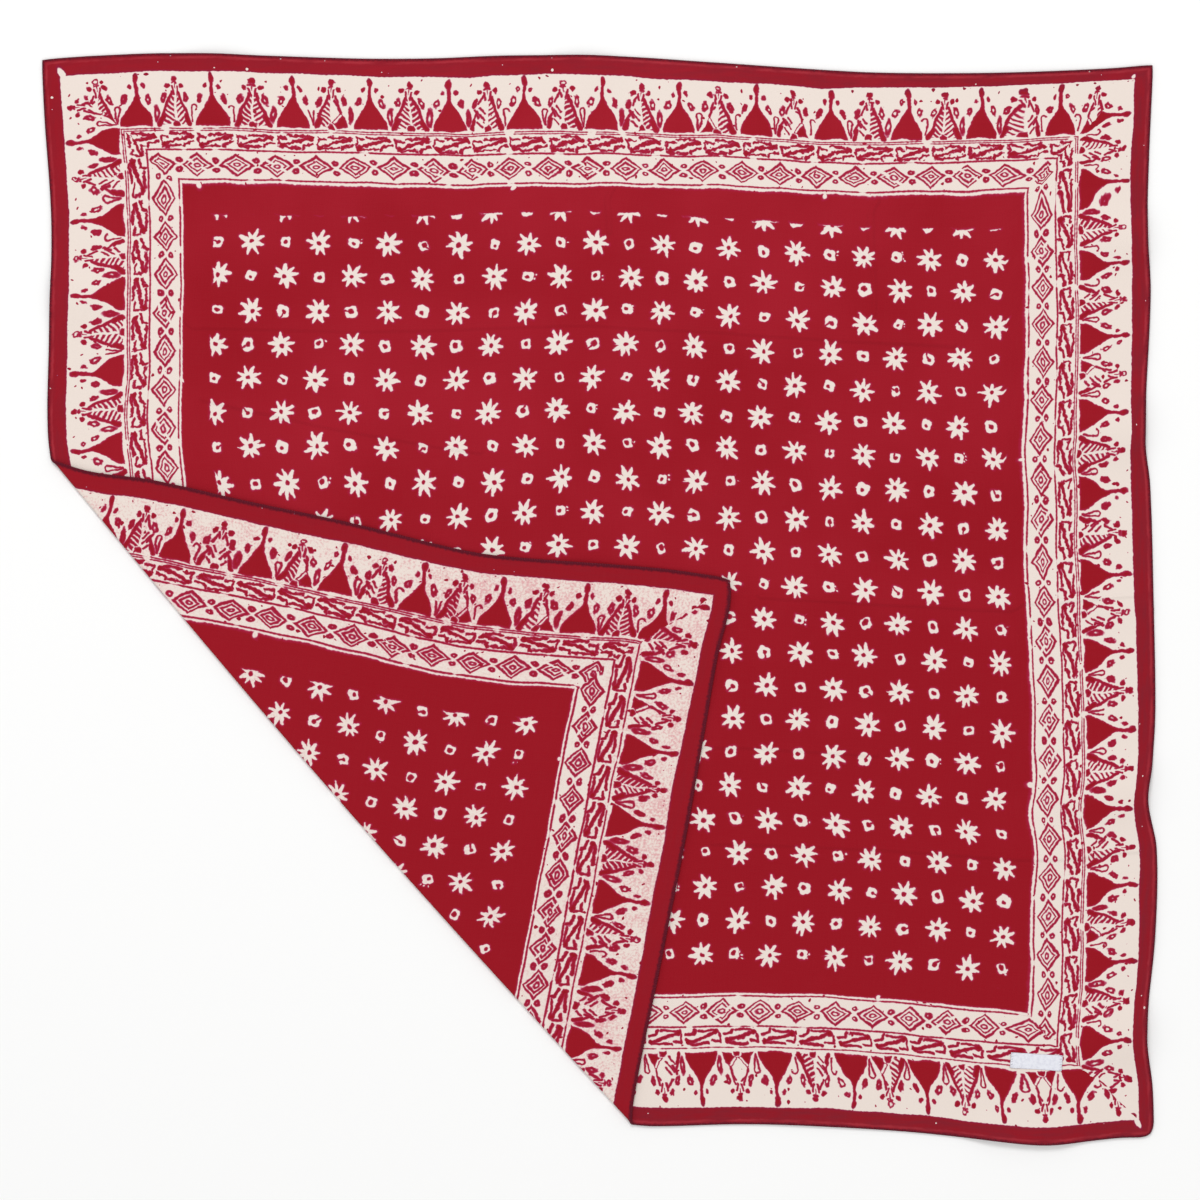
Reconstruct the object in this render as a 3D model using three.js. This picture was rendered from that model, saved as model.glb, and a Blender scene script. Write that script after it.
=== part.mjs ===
// A square batik bandana of thin cotton, lying face up with one corner folded over onto its face.
// Millimetres, +Z up. The cloth with its turned hem is one closed sheet, and a woven label is
// sewn to its face. The origin is the middle of the whole thing's footprint, on the surface.
import * as THREE from 'three';

// Driving dimensions
const sheetThickness = 1; // cotton cloth
const hemThickness = 1.5; // the cloth turned over on itself along every side
const hemWidth = 4; // narrow rolled hem
const hemShoulder = 1.2; // width over which the hem thins down to the sheet
const layerGap = 0.3; // clear air between two layers that lie on each other
const facetSize = 18; // largest side of the sheet's facets
const label = { width: 25.3, height: 7.7, thickness: 1, cornerRadius: 0.8, x: 216.2, y: -228.8, turn: -3.4 };
const riseUnderLabel = 0.2; // how far the soft cotton rises there above its flat parts

// The four corners of the cloth as it would lie opened out. It is cut by hand, a little out of square.
const corners = {
  topLeft: new THREE.Vector2(-275.9, 267),
  topRight: new THREE.Vector2(274.1, 264.5),
  bottomRight: new THREE.Vector2(274.6, -266.6),
  bottomLeft: new THREE.Vector2(-263.8, -277.4),
};
const cornerReach = 9; // length of side over which a soft corner is rounded
const cornerPull = { topLeft: 0.5, topRight: 0.5, bottomRight: 3, bottomLeft: 1.5 };

// How far each side stands out (+) or draws in (-) from the line between its corners,
// top and bottom from the left, left and right from the top.
const sides = {
  top: table(['along', 'out'], [
    [0, 0], [0.05, 2], [0.12, 3.4], [0.28, 1.2], [0.35, 1.4], [0.42, 3], [0.51, 3],
    [0.6, 0.2], [0.73, -4.2], [0.79, -4.8], [0.87, -4.3], [0.96, -2], [1, 0],
  ]),
  right: table(['along', 'out'], [
    [0, 0], [0.08, -2], [0.16, -3], [0.21, -1.4], [0.35, -4.4], [0.39, -1.8], [0.49, -0.2],
    [0.6, 0.7], [0.65, -0.8], [0.685, -3.2], [0.73, 1.3], [0.81, 0.6], [0.905, -3.9], [0.95, -0.9], [1, 0],
  ]),
  bottom: table(['along', 'out'], [
    [0, 0], [0.03, 1], [0.07, -1.2], [0.15, -2.5], [0.25, -4.5], [0.36, -8], [0.5, -12.5],
    [0.54, -10.8], [0.62, -10.9], [0.68, -9.5], [0.77, -5.7], [0.84, -1.2], [0.9, 2.3], [0.97, -0.4], [1, 0],
  ]),
  left: table(['along', 'out'], [
    [0, 0], [0.05, -0.7], [0.15, -3], [0.26, -0.4], [0.34, 1], [0.4, -2.3], [0.46, -0.7],
    [0.55, -2.2], [0.65, -3.5], [0.75, -7], [0.79, -6.8], [0.93, -0.6], [1, 0],
  ]),
};

// The fold: the bottom left corner turns up over this line, which bows out a little at its middle.
const fold = {
  start: new THREE.Vector2(-268.4, 66.5), // on the left side
  end: new THREE.Vector2(15.7, -258.7), // on the bottom side
  bow: 3.8,
  crownRadius: 1.6, // of the cloth's middle where it turns over
  overturn: 8, // degrees past a half turn, so that the flap slopes down onto the cloth below
  settleRadius: 25,
  crownSteps: 5,
  settleSteps: 2,
};

// Soft ridges that stand up from the lying cloth, each from one point to another.
const ridges = table(['layer', 'fromX', 'fromY', 'toX', 'toY', 'height', 'reach'], [
  ['base', 14, 192, 34, 138, 1.6, 20], // long waves that run in towards the flap's point
  ['base', 34, 138, 54, 55, 1.6, 20],
  ['base', -18, 114, 28, 66, 1.1, 20],
  ['base', -111, 205, -80, 180, 1.3, 20],
  ['base', -176, 104, -138, 68, 1.1, 20],
  ['base', -205, 130, 128, 127, 0.7, 18], // flattened creases of the folds it was stored in
  ['base', 92, -2, 255, -2, 0.7, 18],
  ['base', 66, -128, 216, -128, 0.7, 18],
  ['base', 240, 178, 280, 178, 2.4, 22], // puckers of the hem
  ['base', 236, 84, 280, 84, 3, 24],
  ['base', 238, -96, 280, -94, 2.6, 22],
  ['base', 246, -216, 282, -216, 3.2, 22],
  ['base', 196, -268, 224, -274, 2.2, 20],
  ['base', -190, 250, -190, 280, 2.2, 24],
  ['base', -10, 250, -6, 280, 2, 24],
  ['base', -284, 150, -250, 148, 1.8, 22],
  ['flap', -74, -34, -30, -78, 1, 24],
  ['flap', -6, 12, -4, -22, 1.1, 22],
]);

function table(columns, rows) {
  return rows.map((row) => Object.fromEntries(columns.map((name, i) => [name, row[i]])));
}

// A smooth line through a side's rows
function outAt(rows, along) {
  const slopeAt = (i) => {
    const before = rows[Math.max(i - 1, 0)];
    const after = rows[Math.min(i + 1, rows.length - 1)];
    return (after.out - before.out) / (after.along - before.along);
  };
  const i = Math.min(rows.findLastIndex((row) => row.along <= along), rows.length - 2);
  const [a, b] = [rows[i], rows[i + 1]];
  const width = b.along - a.along;
  const t = (along - a.along) / width;
  const ease = t * t * (3 - 2 * t);
  const leave = t * (1 - t) * (1 - t) * width * slopeAt(i);
  const arrive = t * t * (t - 1) * width * slopeAt(i + 1);
  return a.out + (b.out - a.out) * ease + leave + arrive;
}

function sidePoint(from, to, rows, outward, along) {
  return from.clone().lerp(to, along).addScaledVector(outward, outAt(rows, along));
}

// The opened-out cloth: u runs from left to right and v from top to bottom, both from 0 to 1.
function laidPoint(u, v) {
  const { topLeft, topRight, bottomRight, bottomLeft } = corners;
  const top = sidePoint(topLeft, topRight, sides.top, new THREE.Vector2(0, 1), u);
  const bottom = sidePoint(bottomLeft, bottomRight, sides.bottom, new THREE.Vector2(0, -1), u);
  const left = sidePoint(topLeft, bottomLeft, sides.left, new THREE.Vector2(-1, 0), v);
  const right = sidePoint(topRight, bottomRight, sides.right, new THREE.Vector2(1, 0), v);
  const flat = topLeft.clone().lerp(topRight, u).lerp(bottomLeft.clone().lerp(bottomRight, u), v);
  const point = top.lerp(bottom, v).add(left.lerp(right, u)).sub(flat);
  for (const [name, corner] of Object.entries(corners)) {
    const near = Math.max(0, 1 - point.distanceTo(corner) / cornerReach);
    point.addScaledVector(corner.clone().normalize(), -cornerPull[name] * near * near);
  }
  return point;
}

// Grid lines across one side: the edge, the hem's inner line, its shoulder, then even facets.
function gridLines(length) {
  const margin = hemWidth + hemShoulder;
  const count = Math.round((length - 2 * margin) / facetSize);
  const inner = Array.from({ length: count + 1 }, (_, i) => margin + ((length - 2 * margin) * i) / count);
  return [0, hemWidth, ...inner, length - hemWidth, length].map((place) => place / length);
}

const foldLength = fold.start.distanceTo(fold.end);
const alongFold = fold.end.clone().sub(fold.start).normalize();
const outFold = new THREE.Vector2(alongFold.y, -alongFold.x); // from the fold towards the folded corner

function bowAt(along) {
  return fold.bow * Math.sin(Math.PI * THREE.MathUtils.clamp(along / foldLength, 0, 1));
}

// A point of the opened-out cloth, with its distance out past the crown of the fold.
function clothPoint(u, v, isHem) {
  const point = laidPoint(u, v);
  const fromStart = point.clone().sub(fold.start);
  const along = fromStart.dot(alongFold);
  const past = fromStart.dot(outFold) - bowAt(along);
  return { x: point.x, y: point.y, past, thickness: isHem ? hemThickness : sheetThickness };
}

function blend(a, b, share) {
  return Object.fromEntries(Object.keys(a).map((key) => [key, a[key] + (b[key] - a[key]) * share]));
}

// Cuts a convex cell along the line that lies a given distance past the crown.
function splitCell(cell, level) {
  const snap = 0.05;
  const inside = [];
  const outside = [];
  cell.forEach((a, i) => {
    const b = cell[(i + 1) % cell.length];
    const [pastA, pastB] = [a.past - level, b.past - level];
    if (pastA <= snap) inside.push(a);
    if (pastA >= -snap) outside.push(a);
    if (Math.min(pastA, pastB) < -snap && Math.max(pastA, pastB) > snap) {
      const cut = blend(a, b, pastA / (pastA - pastB));
      inside.push(cut);
      outside.push(cut);
    }
  });
  return [inside, outside].filter((part) => part.length > 2);
}

// The fold's section, as stations along the cloth's middle: how far it has run, where it is across
// the fold, how high, and which way it travels. Between stations it is straight.
function foldStations() {
  const half = sheetThickness / 2;
  const overturn = THREE.MathUtils.degToRad(fold.overturn);
  const flapHeight = hemThickness + layerGap + hemThickness - half; // a hem lying on a hem
  const crownTop = half + fold.crownRadius * (1 + Math.cos(overturn));
  const settleDrop = fold.settleRadius * (1 - Math.cos(overturn));
  const slopeRun = (crownTop - settleDrop - flapHeight) / Math.sin(overturn);
  const stations = [{ run: 0, across: -fold.crownRadius, height: half, travel: 0 }];
  const bend = (turn, radius, steps) => {
    for (let i = 0; i < steps; i++) {
      const last = stations.at(-1);
      const travel = last.travel + turn / steps;
      const signed = radius * Math.sign(turn);
      stations.push({
        run: last.run + (radius * Math.abs(turn)) / steps,
        across: last.across + signed * (Math.sin(travel) - Math.sin(last.travel)),
        height: last.height + signed * (Math.cos(last.travel) - Math.cos(travel)),
        travel,
      });
    }
  };
  const straight = (length) => {
    const { run, across, height, travel } = stations.at(-1);
    stations.push({
      run: run + length,
      across: across + length * Math.cos(travel),
      height: height + length * Math.sin(travel),
      travel,
    });
  };
  bend(Math.PI + overturn, fold.crownRadius, fold.crownSteps);
  straight(slopeRun);
  bend(-overturn, fold.settleRadius, fold.settleSteps);
  straight(foldLength); // the flap itself, longer than it needs to be
  return stations;
}

function sectionAt(stations, run) {
  const i = Math.min(stations.findLastIndex((station) => station.run <= run), stations.length - 2);
  const [a, b] = [stations[i], stations[i + 1]];
  return blend(a, b, (run - a.run) / (b.run - a.run));
}

function ridgeLift(x, y, layer) {
  let lift = 0;
  for (const ridge of ridges.filter((row) => row.layer === layer)) {
    const start = new THREE.Vector3(ridge.fromX, ridge.fromY, 0);
    const end = new THREE.Vector3(ridge.toX, ridge.toY, 0);
    const point = new THREE.Vector3(x, y, 0);
    const nearest = new THREE.Line3(start, end).closestPointToPoint(point, true, new THREE.Vector3());
    const distance = nearest.distanceTo(point);
    if (distance < ridge.reach) {
      lift = Math.max(lift, (ridge.height * (1 + Math.cos((Math.PI * distance) / ridge.reach))) / 2);
    }
  }
  return lift;
}

// Where a point of the cloth lies once the corner is folded over: [face skin, back skin].
function foldedSkins(point, stations) {
  const run = Math.max(point.past + fold.crownRadius, 0);
  const section = sectionAt(stations, run);
  const back = sheetThickness / 2;
  return [point.thickness - back, -back].map((offset) => {
    let { x, y } = point;
    if (run > 0) {
      const along = (x - fold.start.x) * alongFold.x + (y - fold.start.y) * alongFold.y;
      const across = bowAt(along) + section.across - offset * Math.sin(section.travel);
      x = fold.start.x + alongFold.x * along + outFold.x * across;
      y = fold.start.y + alongFold.y * along + outFold.y * across;
    }
    const layer = section.travel > Math.PI / 2 ? 'flap' : 'base';
    return [x, y, section.height + offset * Math.cos(section.travel) + ridgeLift(x, y, layer)];
  });
}

function clothCells() {
  const columns = gridLines(corners.topLeft.distanceTo(corners.topRight));
  const rows = gridLines(corners.topLeft.distanceTo(corners.bottomLeft));
  const isHem = (i, lines) => i < 2 || i > lines.length - 3;
  const points = rows.map((v, j) => {
    const hemRow = isHem(j, rows);
    return columns.map((u, i) => clothPoint(u, v, hemRow || isHem(i, columns)));
  });
  const cells = [];
  for (let j = 0; j + 1 < rows.length; j++) {
    for (let i = 0; i + 1 < columns.length; i++) {
      cells.push([points[j + 1][i], points[j + 1][i + 1], points[j][i + 1], points[j][i]]);
    }
  }
  return cells;
}

function clothGeometry() {
  const stations = foldStations();
  const levels = stations.slice(0, -1).map((station) => station.run - fold.crownRadius);
  const cells = levels.reduce((all, level) => all.flatMap((cell) => splitCell(cell, level)), clothCells());

  const places = new Map(); // one entry for each point of the cloth, by its opened-out place
  const positions = [];
  const indexOf = (point) => {
    const key = `${point.x.toFixed(3)},${point.y.toFixed(3)}`;
    if (!places.has(key)) {
      places.set(key, places.size);
      positions.push(...foldedSkins(point, stations).flat());
    }
    return places.get(key);
  };
  const face = (i) => 2 * i; // each point has a corner on the face skin and one on the back skin
  const back = (i) => 2 * i + 1;

  const triangles = [];
  const edges = new Map(); // every edge of the face skin that has no neighbour yet
  for (const cell of cells) {
    const ring = cell.map(indexOf);
    for (let i = 1; i + 1 < ring.length; i++) {
      const [a, b, c] = [ring[0], ring[i], ring[i + 1]];
      triangles.push(face(a), face(b), face(c), back(a), back(c), back(b));
    }
    ring.forEach((a, i) => {
      const b = ring[(i + 1) % ring.length];
      if (!edges.delete(`${b},${a}`)) edges.set(`${a},${b}`, [a, b]);
    });
  }
  for (const [a, b] of edges.values()) {
    triangles.push(face(b), face(a), back(a), face(b), back(a), back(b)); // the rim
  }

  const geometry = new THREE.BufferGeometry();
  geometry.setAttribute('position', new THREE.Float32BufferAttribute(positions, 3));
  geometry.setIndex(triangles);
  return geometry;
}

function clothMesh() {
  const material = new THREE.MeshStandardMaterial({ color: 0x9c2230, roughness: 0.9, metalness: 0 });
  const mesh = new THREE.Mesh(clothGeometry(), material);
  mesh.name = 'cloth';
  return mesh;
}

// The label lies flat on the face, just clear of the cotton.
function labelMesh() {
  const [right, top, radius] = [label.width / 2, label.height / 2, label.cornerRadius];
  const outline = new THREE.Shape();
  outline.absarc(right - radius, top - radius, radius, 0, Math.PI / 2);
  outline.absarc(radius - right, top - radius, radius, Math.PI / 2, Math.PI);
  outline.absarc(radius - right, radius - top, radius, Math.PI, 1.5 * Math.PI);
  outline.absarc(right - radius, radius - top, radius, 1.5 * Math.PI, 2 * Math.PI);
  const extrusion = { depth: label.thickness, bevelEnabled: false, curveSegments: 3 };
  const geometry = new THREE.ExtrudeGeometry(outline, extrusion);
  const material = new THREE.MeshStandardMaterial({ color: 0xe9eaf0, roughness: 0.7, metalness: 0 });
  const mesh = new THREE.Mesh(geometry, material);
  mesh.name = 'label';
  mesh.position.set(label.x, label.y, sheetThickness + riseUnderLabel + layerGap);
  mesh.rotation.z = THREE.MathUtils.degToRad(label.turn);
  return mesh;
}

const group = new THREE.Group();
group.add(clothMesh(), labelMesh());
const box = new THREE.Box3().setFromObject(group);
const middle = box.getCenter(new THREE.Vector3());
group.position.set(-middle.x, -middle.y, -box.min.z);
export default group;
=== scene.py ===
# A batik bandana of thin cotton, lying face up with its lower left corner folded over onto its face.
# Tables and dictionaries are in millimetres, and the scene is in metres.
import math

import bpy
import numpy as np
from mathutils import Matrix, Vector
from mathutils.bvhtree import BVHTree


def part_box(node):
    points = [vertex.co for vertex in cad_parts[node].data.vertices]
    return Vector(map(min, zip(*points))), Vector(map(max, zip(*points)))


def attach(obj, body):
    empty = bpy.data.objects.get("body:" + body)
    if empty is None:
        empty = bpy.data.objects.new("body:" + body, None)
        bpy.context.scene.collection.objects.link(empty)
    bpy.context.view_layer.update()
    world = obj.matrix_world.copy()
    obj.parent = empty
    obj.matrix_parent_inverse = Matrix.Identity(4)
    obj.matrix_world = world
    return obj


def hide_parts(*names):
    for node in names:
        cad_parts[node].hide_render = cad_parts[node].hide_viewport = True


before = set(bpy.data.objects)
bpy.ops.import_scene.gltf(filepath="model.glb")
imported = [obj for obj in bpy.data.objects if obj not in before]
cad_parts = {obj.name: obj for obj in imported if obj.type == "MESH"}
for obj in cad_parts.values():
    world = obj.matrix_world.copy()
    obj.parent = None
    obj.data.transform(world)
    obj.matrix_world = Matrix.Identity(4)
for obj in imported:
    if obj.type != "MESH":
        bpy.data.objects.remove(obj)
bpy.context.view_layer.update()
mm = 0.001

studio = {
    "viewWidth": 594,
    "lens": 100,
    "aimX": 0.1,
    "aimY": -0.5,
    "sky": 0.64,  # even light from all round
    "floorColour": (0.94, 0.94, 0.935, 1),
    "floorReach": 4000,
}
lamps = [  # name, place and size in metres, watts
    ("keyLight", (-0.35, 1.5, 1.9), 0.8, 22),
    ("fillLight", (1.1, -0.7, 1.6), 1.4, 7),
    ("lowLight", (-1.3, -0.4, 0.7), 0.8, 1.5),
]


def addToScene(name, data):
    piece = bpy.data.objects.new(name, data)
    bpy.context.scene.collection.objects.link(piece)
    return piece


def makeCamera():
    data = bpy.data.cameras.new("overhead")
    data.lens = studio["lens"]
    camera = addToScene("overhead", data)
    distance = studio["viewWidth"] * mm * data.lens / data.sensor_width
    camera.location = (studio["aimX"] * mm, studio["aimY"] * mm, distance)
    bpy.context.scene.camera = camera


def makeLights():
    world = bpy.data.worlds.new("studio")
    world.use_nodes = True
    sky = world.node_tree.nodes["Background"]
    sky.inputs["Color"].default_value = (1, 1, 1, 1)
    sky.inputs["Strength"].default_value = studio["sky"]
    bpy.context.scene.world = world
    for name, place, size, watts in lamps:
        data = bpy.data.lights.new(name, "AREA")
        data.size, data.energy = size, watts
        lamp = addToScene(name, data)
        lamp.location = place
        lamp.rotation_euler = (-lamp.location).to_track_quat("-Z", "Y").to_euler()


def newMaterial(name, constants):
    material = bpy.data.materials.new(name)
    material.use_nodes = True
    shader = material.node_tree.nodes["Principled BSDF"]
    for socket, value in constants.items():
        shader.inputs[socket].default_value = value
    return material, material.node_tree, shader


def makeFloor():
    reach = studio["floorReach"] * mm
    mesh = bpy.data.meshes.new("floor")
    outline = [(-reach, -reach, 0), (reach, -reach, 0), (reach, reach, 0), (-reach, reach, 0)]
    mesh.from_pydata(outline, [], [(0, 1, 2, 3)])
    material, *_ = newMaterial("paleFloor", {"Base Color": studio["floorColour"], "Roughness": 0.8})
    mesh.materials.append(material)
    addToScene("floor", mesh)


makeCamera()
makeLights()
makeFloor()
bpy.context.scene.view_settings.view_transform = "Standard"
print("camera, lights and floor made")


cloth = {
    "printWidth": 550,  # the cloth's size as the print's own coordinates count it
    "printHeight": 535,
    "restHeight": 0.4,  # of the cloth's middle above the floor, away from the hem
    "flapHeight": 1.65,
    "foldRadius": 0.95,
    "overturn": 5,  # degrees past a half turn, so that the flap slopes down onto the cloth below
    "settleRadius": 30,
    "foldBow": 3.8,
    "foldStart": (-268.4, 66.5),
    "foldEnd": (15.7, -258.7),
    "crownSteps": 12,
    "settleSteps": 3,
    "cellSize": 3.2,
    "cornerReach": 9,
    "hemRise": 0.35,
    "floorGap": 0.16,
}
corners = {  # as the cloth would lie opened out, with how far each soft corner draws in
    "topLeft": ((-275.9, 267), 0.5),
    "topRight": ((274.1, 264.5), 0.5),
    "bottomRight": ((274.6, -266.6), 3),
    "bottomLeft": ((-263.8, -277.4), 1.5),
}
# How far each side stands out (+) or draws in (-): [share of the side, out], top and bottom from
# the left, left and right from the top.
topSide = [
    [0, 0], [0.05, 2], [0.12, 3.4], [0.28, 1.2], [0.35, 1.4], [0.42, 3], [0.51, 3],
    [0.6, 0.2], [0.73, -4.2], [0.79, -4.8], [0.87, -4.3], [0.96, -2], [1, 0],
]
rightSide = [
    [0, 0], [0.08, -2], [0.16, -3], [0.21, -1.4], [0.35, -4.4], [0.39, -1.8], [0.49, -0.2],
    [0.6, 0.7], [0.65, -0.8], [0.685, -3.2], [0.73, 1.3], [0.81, 0.6], [0.905, -3.9], [0.95, -0.9], [1, 0],
]
bottomSide = [
    [0, 0], [0.03, 1], [0.07, -1.2], [0.15, -2.5], [0.25, -4.5], [0.36, -8], [0.5, -12.5],
    [0.54, -10.8], [0.62, -10.9], [0.68, -9.5], [0.77, -5.7], [0.84, -1.2], [0.9, 2.3], [0.97, -0.4], [1, 0],
]
leftSide = [
    [0, 0], [0.05, -0.7], [0.15, -3], [0.26, -0.4], [0.34, 1], [0.4, -2.3], [0.46, -0.7],
    [0.55, -2.2], [0.65, -3.5], [0.75, -7], [0.79, -6.8], [0.93, -0.6], [1, 0],
]
# The rolled edge's section: [distance from the edge, height of the face skin, depth of the back skin]
hemSection = [
    [0, 0.1, 0.1], [0.1, 0.34, 0.34], [0.3, 0.52, 0.52], [0.6, 0.6, 0.6], [0.95, 0.5, 0.56],
    [1.25, 0.3, 0.4], [1.6, 0.22, 0.3], [2.2, 0.34, 0.22], [2.9, 0.22, 0.2], [4.4, 0.2, 0.2],
]
# Soft waves, flattened storage creases and hem puckers: from x, y to x, y, height, reach to each side
baseRidges = [
    [14, 192, 34, 138, 1.6, 20], [34, 138, 54, 55, 1.6, 20], [-18, 114, 28, 66, 1.1, 20],
    [-111, 205, -80, 180, 1.3, 20], [-176, 104, -138, 68, 1.1, 20], [-205, 130, 128, 127, 0.7, 18],
    [92, -2, 255, -2, 0.7, 18], [66, -128, 216, -128, 0.7, 18], [240, 178, 280, 178, 2.4, 22],
    [236, 84, 280, 84, 3, 24], [238, -96, 280, -94, 2.6, 22], [246, -216, 282, -216, 3.2, 22],
    [196, -268, 224, -274, 2.2, 20], [-190, 250, -190, 280, 2.2, 24], [-10, 250, -6, 280, 2, 24],
    [-284, 150, -250, 148, 1.8, 22],
    [-207, 131, 178, 129, 0.6, 4.5], [78, -2, 272, -4, 0.55, 4.5], [45, -79, 135, -80, 0.5, 4],
    [50, -128, 218, -127, 0.5, 4], [3, 207, 5, 180, 0.4, 4], [136, 208, 137, 146, 0.45, 4.5],
]
flapRidges = [[-74, -34, -30, -78, 1, 24], [-6, 12, -4, -22, 1.1, 22]]


# A smooth line through a side's rows
def outAt(rows, along):
    place, out = np.array(rows, float).T
    slope = np.empty(len(place))
    slope[1:-1] = (out[2:] - out[:-2]) / (place[2:] - place[:-2])
    slope[0] = (out[1] - out[0]) / (place[1] - place[0])
    slope[-1] = (out[-1] - out[-2]) / (place[-1] - place[-2])
    i = np.clip(np.searchsorted(place, along, "right") - 1, 0, len(place) - 2)
    width = place[i + 1] - place[i]
    t = (along - place[i]) / width
    ease = t * t * (3 - 2 * t)
    leave = t * (1 - t) ** 2 * width * slope[i]
    arrive = t * t * (t - 1) * width * slope[i + 1]
    return out[i] + (out[i + 1] - out[i]) * ease + leave + arrive


# Where a point of the opened-out cloth lies: u runs from left to right and v from top to bottom.
def laidPoint(u, v):
    at = {name: np.array(place, float) for name, (place, _) in corners.items()}
    u, v = u[:, None], v[:, None]

    def sidePoint(start, end, rows, outward, along):
        straight = at[start] * (1 - along) + at[end] * along
        return straight + np.array(outward) * outAt(rows, along[:, 0])[:, None]

    top = sidePoint("topLeft", "topRight", topSide, (0, 1), u)
    bottom = sidePoint("bottomLeft", "bottomRight", bottomSide, (0, -1), u)
    left = sidePoint("topLeft", "bottomLeft", leftSide, (-1, 0), v)
    right = sidePoint("topRight", "bottomRight", rightSide, (1, 0), v)
    flatTop = at["topLeft"] * (1 - u) + at["topRight"] * u
    flatBottom = at["bottomLeft"] * (1 - u) + at["bottomRight"] * u
    point = top * (1 - v) + bottom * v + left * (1 - u) + right * u - flatTop * (1 - v) - flatBottom * v
    for name, (_, pull) in corners.items():
        far = np.linalg.norm(point - at[name], axis=1)
        near = np.clip(1 - far / cloth["cornerReach"], 0, 1)[:, None]
        point -= at[name] / np.linalg.norm(at[name]) * pull * near**2
    return point


foldStart, foldEnd = np.array(cloth["foldStart"]), np.array(cloth["foldEnd"])
foldLength = np.linalg.norm(foldEnd - foldStart)
alongFold = (foldEnd - foldStart) / foldLength
outFold = np.array([alongFold[1], -alongFold[0]])  # from the fold towards the folded corner


def bowAt(along):
    return cloth["foldBow"] * np.sin(math.pi * np.clip(along / foldLength, 0, 1))


# The fold's section, as rows of how far the cloth has run, how far across the fold it is, its
# height and which way it travels.
def foldStations():
    radius, overturn = cloth["foldRadius"], math.radians(cloth["overturn"])
    crownTop = cloth["restHeight"] + radius * (1 + math.cos(overturn))
    settleDrop = cloth["settleRadius"] * (1 - math.cos(overturn))
    slopeRun = (crownTop - settleDrop - cloth["flapHeight"]) / math.sin(overturn)
    rows = [(0, -radius, cloth["restHeight"], 0)]

    def bend(turn, size, steps):
        for _ in range(steps):
            run, across, height, travel = rows[-1]
            turned = travel + turn / steps
            signed = math.copysign(size, turn)
            across += signed * (math.sin(turned) - math.sin(travel))
            height += signed * (math.cos(travel) - math.cos(turned))
            rows.append((run + size * abs(turn) / steps, across, height, turned))

    def straight(length):
        run, across, height, travel = rows[-1]
        onward, upward = length * math.cos(travel), length * math.sin(travel)
        rows.append((run + length, across + onward, height + upward, travel))

    bend(math.pi + overturn, radius, cloth["crownSteps"])
    straight(max(slopeRun, 1))
    bend(-overturn, cloth["settleRadius"], cloth["settleSteps"])
    straight(foldLength)
    return np.array(rows)


# Grid lines across one side: the rolled edge's own lines, then even cells, all as shares.
def gridLines(length):
    edge = [row[0] for row in hemSection]
    margin = edge[-1]
    count = round((length - 2 * margin) / cloth["cellSize"])
    inner = np.linspace(margin, length - margin, count + 1)[1:-1]
    return np.array([*edge, *inner, *(length - x for x in reversed(edge))]) / length


def ridgeLift(x, y, rows):
    lift = np.zeros(len(x))
    point = np.stack([x, y], 1)
    for fromX, fromY, toX, toY, height, reach in rows:
        start, run = np.array([fromX, fromY]), np.array([toX - fromX, toY - fromY])
        share = np.clip((point - start) @ run / (run @ run), 0, 1)
        far = np.linalg.norm(point - start - share[:, None] * run, axis=1)
        bump = height * (1 + np.cos(math.pi * np.minimum(far / reach, 1))) / 2
        lift = np.maximum(lift, bump) + 0.35 * np.minimum(lift, bump)
    return lift


# Slow, shallow unevenness of cloth that was smoothed out by hand
def ripple(x, y, size, seed):
    random = np.random.default_rng(seed)
    total = np.zeros(len(x))
    for _ in range(9):
        angle, length = random.uniform(0, math.tau), random.uniform(38, 130)
        phase = random.uniform(0, math.tau)
        total += np.sin((x * math.cos(angle) + y * math.sin(angle)) * math.tau / length + phase)
    return size * total / 3


# Cuts a convex ring of points along the line where past equals level, and shares its new points.
def splitRing(ring, level, past, blends, made):
    snap = 0.03
    inside, outside = [], []
    for a, b in zip(ring, ring[1:] + ring[:1]):
        pastA, pastB = past[a] - level, past[b] - level
        if pastA <= snap:
            inside.append(a)
        if pastA >= -snap:
            outside.append(a)
        if min(pastA, pastB) < -snap and max(pastA, pastB) > snap:
            key = (min(a, b), max(a, b), level)
            if key not in made:
                low, high = key[0], key[1]
                made[key] = len(past)
                blends.append((low, high, (level - past[low]) / (past[high] - past[low])))
                past.append(level)
            inside.append(made[key])
            outside.append(made[key])
    return [part for part in (inside, outside) if len(part) > 2]


# The middle of the cloth at each point, its height there and which way it travels over the fold
def foldedMiddle(laid, past):
    stations = foldStations()
    run = np.maximum(past + cloth["foldRadius"], 0)
    across, level, travel = (np.interp(run, stations[:, 0], stations[:, i]) for i in (1, 2, 3))
    along = (laid - foldStart) @ alongFold
    onFold = foldStart + alongFold * along[:, None] + outFold * (bowAt(along) + across)[:, None]
    middle = np.where((run > 0)[:, None], onFold, laid)
    onFlap = travel > math.pi / 2
    lift = np.where(onFlap, ridgeLift(*middle.T, flapRidges), ridgeLift(*middle.T, baseRidges))
    crown = np.sin(np.clip(travel, 0, math.pi)) ** 0.5  # the crown itself keeps its own line
    wave = ripple(*middle.T, 0.16, 4) + np.where(onFlap, ripple(*middle.T, 0.14, 9), 0)
    return middle, level + lift + np.maximum(wave, -0.14) * (1 - crown), travel


def pastFold(laid):
    fromStart = laid - foldStart
    return fromStart @ outFold - bowAt(fromStart @ alongFold)


def hemLift(edge, travel):
    return np.where(travel > math.pi / 2, 0.4, 1) * np.exp(-edge / 5) * cloth["hemRise"]


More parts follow.
